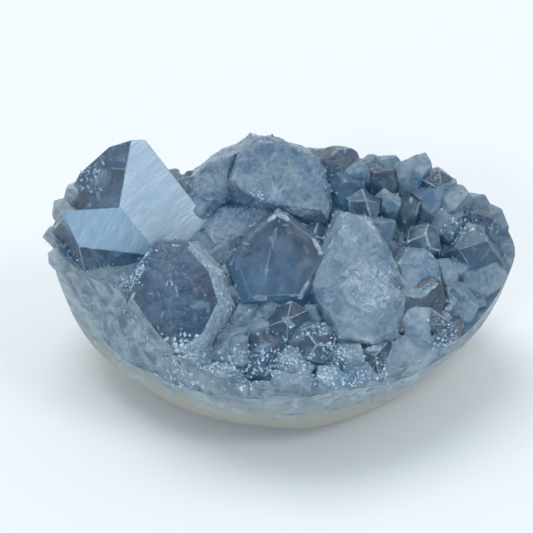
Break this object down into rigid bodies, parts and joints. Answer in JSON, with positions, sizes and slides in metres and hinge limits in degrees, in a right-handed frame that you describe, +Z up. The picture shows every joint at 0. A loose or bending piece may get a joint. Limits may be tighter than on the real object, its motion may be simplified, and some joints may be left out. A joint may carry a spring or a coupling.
{
  "type": "celestite geode",
  "caption": "Half of a celestite geode: large blue crystals grown together in a bed of small ones on a worn, rounded rind that rests on a small flat spot.",
  "frame": {"origin": "centre of the footprint of the bounding box, on the surface the geode rests on", "axes": "+X to the right along the longest extent, +Y to the back, +Z up; the crystals lean towards the front, -Y"},
  "size_m": [0.1258, 0.079, 0.0665],
  "materials": {
    "rind_stone": "worn smooth, grey-white with blue-grey flecks and a beige lower edge",
    "celestite": "clear to milky pale blue crystal with bright chipped edges"
  },
  "bodies": {
    "root": {"matrix_rind": "rind_stone", "crystal_crust": "celestite"}
  },
  "joints": []
}
